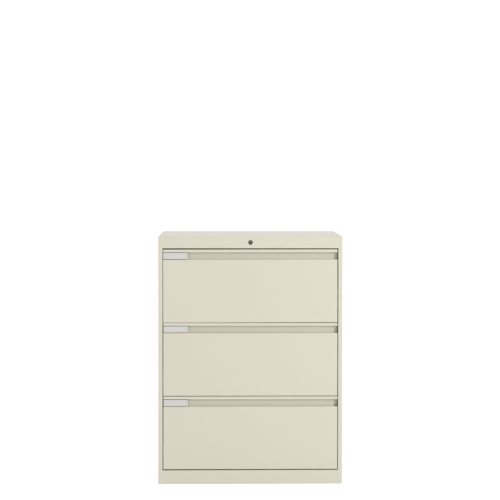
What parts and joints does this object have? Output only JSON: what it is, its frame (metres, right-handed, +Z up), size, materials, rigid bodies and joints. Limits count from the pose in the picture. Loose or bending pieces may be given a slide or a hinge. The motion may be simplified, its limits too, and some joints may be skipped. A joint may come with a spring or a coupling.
{
  "type": "lateral filing cabinet",
  "caption": "Painted steel lateral filing cabinet with full-width finger pulls, label holders, telescopic slides and a top lock.",
  "frame": {"origin": "centre of the footprint, on the floor", "axes": "+Z up; the drawers open towards -Y; +X is the right-hand side of someone facing the drawers"},
  "size_m": [0.762, 0.457, 1.028],
  "materials": {
    "paint": "satin putty powder coat with a fine texture",
    "zinc": "bright zinc plate",
    "lock_black": "black nickel",
    "lock_face": "dark satin metal",
    "holder": "light grey moulded plastic",
    "card": "blank white card",
    "glide": "black nylon foot on a steel screw",
    "iron": "bare dark slab"
  },
  "bodies": {
    "case": {"side_panel_left": "paint", "side_panel_right": "paint", "top_panel": "paint", "header_rail": "paint", "base_rail": "paint", "base_pan": "paint", "back_panel": "paint", "counterweight": "iron", "upright_front_left": "paint", "upright_front_right": "paint", "upright_rear_left": "paint", "upright_rear_right": "paint", "glide_front_left": "glide", "glide_front_right": "glide", "glide_rear_left": "glide", "glide_rear_right": "glide", "lock_housing": "lock_black", "slide_outer_1_left": "zinc", "slide_outer_1_right": "zinc", "slide_outer_2_left": "zinc", "slide_outer_2_right": "zinc", "slide_outer_3_left": "zinc", "slide_outer_3_right": "zinc"},
    "lock_core": {"lock_plug": "lock_face", "lock_cam": "zinc"},
    "lock_slide": {"lock_link": "zinc"},
    "lock_lift": {"lock_bar": "zinc"},
    "drawer_1": {"drawer_1_front": "paint", "drawer_1_liner": "paint", "drawer_1_label_holder": "holder", "drawer_1_label_card": "card", "drawer_1_tub": "paint", "drawer_1_back": "paint", "drawer_1_file_bar": "zinc", "slide_inner_1_left": "zinc", "slide_inner_1_right": "zinc"},
    "slides_1": {"slide_middle_1_left": "zinc", "slide_middle_1_right": "zinc"},
    "drawer_2": {"drawer_2_front": "paint", "drawer_2_liner": "paint", "drawer_2_label_holder": "holder", "drawer_2_label_card": "card", "drawer_2_tub": "paint", "drawer_2_back": "paint", "drawer_2_file_bar": "zinc", "slide_inner_2_left": "zinc", "slide_inner_2_right": "zinc"},
    "slides_2": {"slide_middle_2_left": "zinc", "slide_middle_2_right": "zinc"},
    "drawer_3": {"drawer_3_front": "paint", "drawer_3_liner": "paint", "drawer_3_label_holder": "holder", "drawer_3_label_card": "card", "drawer_3_tub": "paint", "drawer_3_back": "paint", "drawer_3_file_bar": "zinc", "slide_inner_3_left": "zinc", "slide_inner_3_right": "zinc"},
    "slides_3": {"slide_middle_3_left": "zinc", "slide_middle_3_right": "zinc"}
  },
  "joints": [
    {"name": "drawer_1_slide", "type": "slide", "parent": "case", "child": "drawer_1", "axis": [0, -1, 0], "range_m": [0, 0.392]},
    {"name": "slides_1_travel", "type": "slide", "parent": "case", "child": "slides_1", "axis": [0, -1, 0], "range_m": [0, 0.196]},
    {"name": "drawer_2_slide", "type": "slide", "parent": "case", "child": "drawer_2", "axis": [0, -1, 0], "range_m": [0, 0.392]},
    {"name": "slides_2_travel", "type": "slide", "parent": "case", "child": "slides_2", "axis": [0, -1, 0], "range_m": [0, 0.196]},
    {"name": "drawer_3_slide", "type": "slide", "parent": "case", "child": "drawer_3", "axis": [0, -1, 0], "range_m": [0, 0.392]},
    {"name": "slides_3_travel", "type": "slide", "parent": "case", "child": "slides_3", "axis": [0, -1, 0], "range_m": [0, 0.196]},
    {"name": "lock_bar_lift", "type": "slide", "parent": "case", "child": "lock_lift", "axis": [0, 0, 1], "range_m": [0, 0.01202]},
    {"name": "lock_link_travel", "type": "slide", "parent": "case", "child": "lock_slide", "axis": [1, 0, 0], "range_m": [0, 0.01202]},
    {"name": "lock_turn", "type": "hinge", "parent": "case", "child": "lock_core", "pos_m": [0, -0.227, 1.0025], "axis": [0, 1, 0], "range_deg": [0, 90]}
  ],
  "couplings": [
    {"joint": "slides_1_travel", "follows": "drawer_1_slide", "ratio": 0.5},
    {"joint": "slides_2_travel", "follows": "drawer_2_slide", "ratio": 0.5},
    {"joint": "slides_3_travel", "follows": "drawer_3_slide", "ratio": 0.5},
    {"joint": "lock_link_travel", "follows": "lock_bar_lift", "ratio": 1},
    {"joint": "lock_turn", "follows": "lock_bar_lift", "rad_per_m": 130.67}
  ]
}
